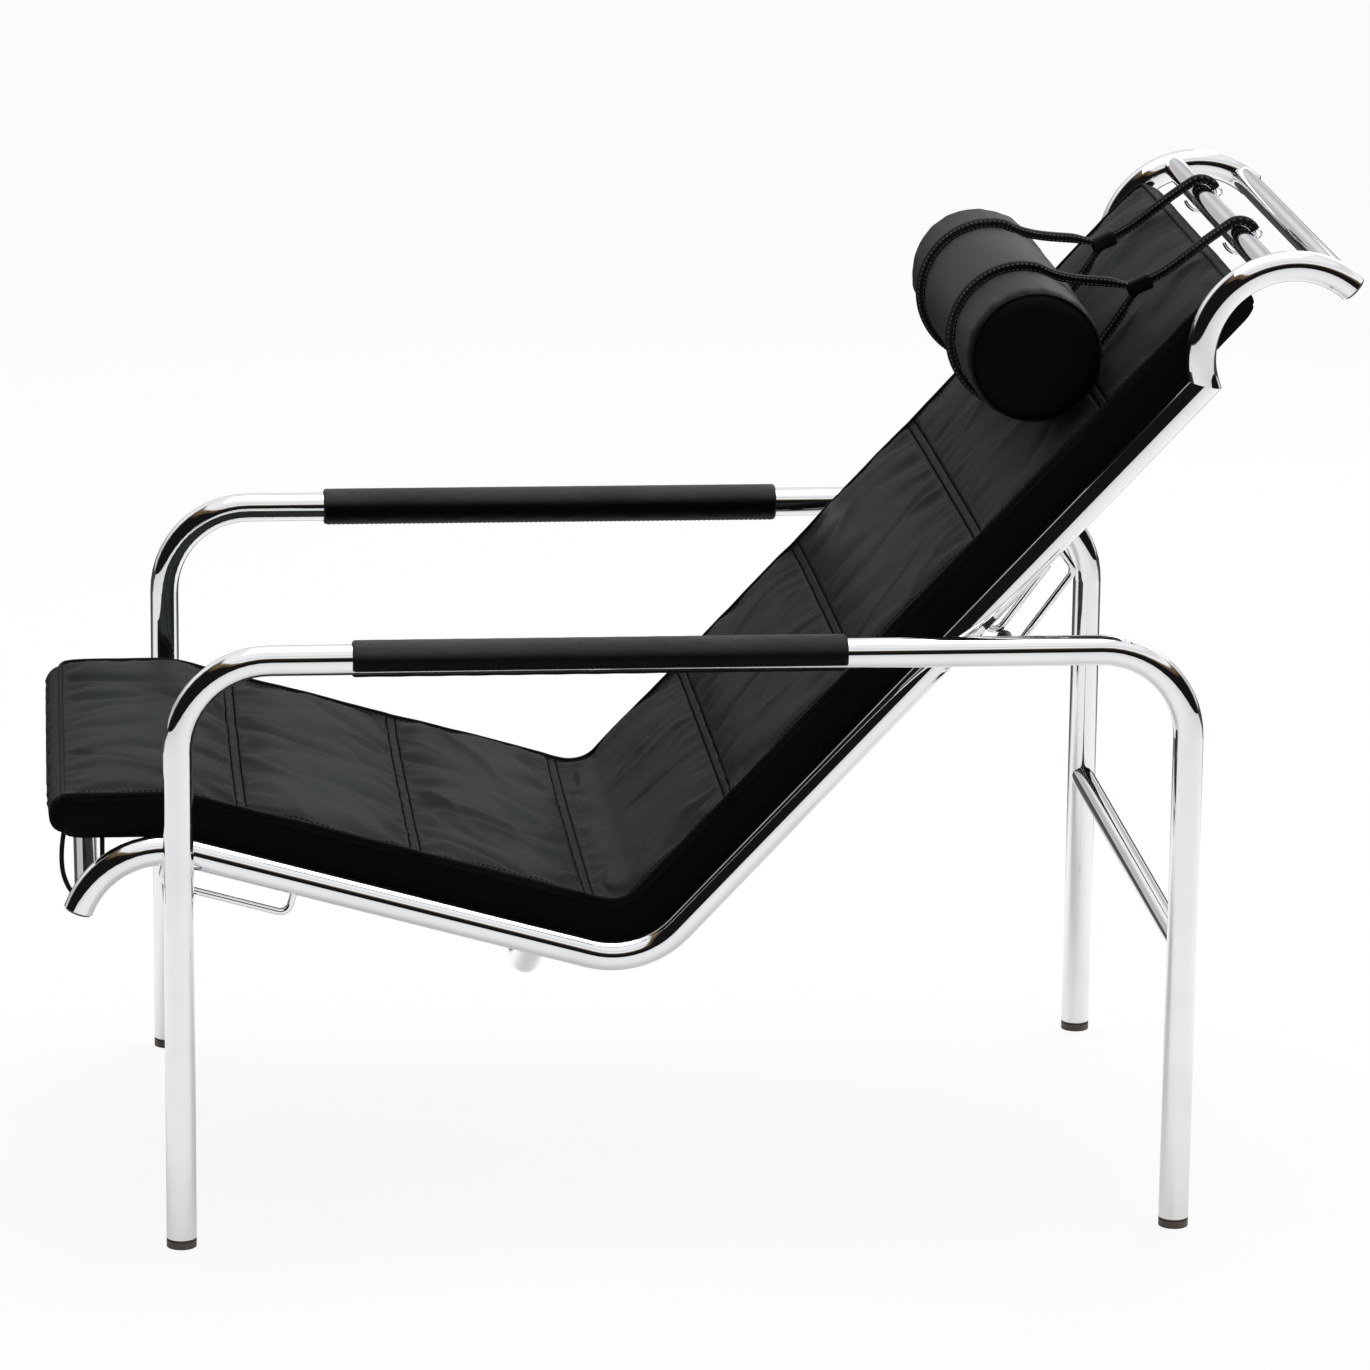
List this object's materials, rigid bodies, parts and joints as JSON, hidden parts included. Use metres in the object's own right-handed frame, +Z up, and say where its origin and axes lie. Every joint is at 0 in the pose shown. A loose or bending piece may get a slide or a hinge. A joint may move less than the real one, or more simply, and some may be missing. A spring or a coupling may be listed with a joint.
{
  "type": "chaise longue",
  "caption": "Low lounge chair of bent chromed tube with a leather mat, padded arms and a strapped headrest; seat and back swing together between upright and reclined.",
  "frame": {"origin": "on the floor under the middle of the whole object's length and width", "axes": "+X to the rear (the head end), +Y to the sitter's right, +Z up"},
  "size_m": [1.0778, 0.5766, 0.8258],
  "materials": {
    "chrome": "bright chrome plate",
    "mat_leather": "semi-matt black hide",
    "headrest_leather": "semi-matt black hide",
    "arm_leather": "matt black hide",
    "strap_leather": "stitched black hide",
    "canvas": "black canvas",
    "spring_steel": "zinc plated",
    "glide": "dark brown plastic",
    "nylon": "black nylon"
  },
  "bodies": {
    "base": {"side_frame_left": "chrome", "side_frame_right": "chrome", "front_crossbar": "chrome", "rear_crossbar": "chrome", "foot_glides": "glide", "arm_pad_left": "arm_leather", "arm_pad_right": "arm_leather", "front_studs": "chrome", "rear_studs": "chrome", "stud_bushes": "nylon", "stud_caps": "chrome"},
    "seat": {"seat_rail_left": "chrome", "seat_rail_right": "chrome", "head_bow_left": "chrome", "head_bow_right": "chrome", "bow_plugs": "nylon", "front_cross_tube": "chrome", "inner_head_bar": "chrome", "outer_head_bar": "chrome", "under_seat_stretcher": "chrome", "front_guide_left": "chrome", "front_guide_right": "chrome", "rear_guide_outer_left": "chrome", "rear_guide_outer_right": "chrome", "rear_guide_inner_left": "chrome", "rear_guide_inner_right": "chrome", "sling": "canvas", "sling_rods": "spring_steel", "springs_left": "spring_steel", "springs_right": "spring_steel", "spring_cups": "spring_steel", "sling_eyes": "spring_steel", "mat": "mat_leather", "mat_ties": "strap_leather", "strap_runs": "strap_leather", "strap_hooks": "chrome"},
    "headrest": {"bolster": "headrest_leather", "strap_loops": "strap_leather", "strap_keepers": "strap_leather"}
  },
  "joints": [
    {"name": "seat_swing", "type": "hinge", "parent": "base", "child": "seat", "pos_m": [-0.23423, 0, 0.89603], "axis": [0, 1, 0], "range_deg": [0, 6.5]},
    {"name": "headrest_slide", "type": "slide", "parent": "seat", "child": "headrest", "axis": [0.6833, 0, 0.7302], "range_m": [-0.1, 0.03], "deforming": ["strap_runs"]}
  ]
}
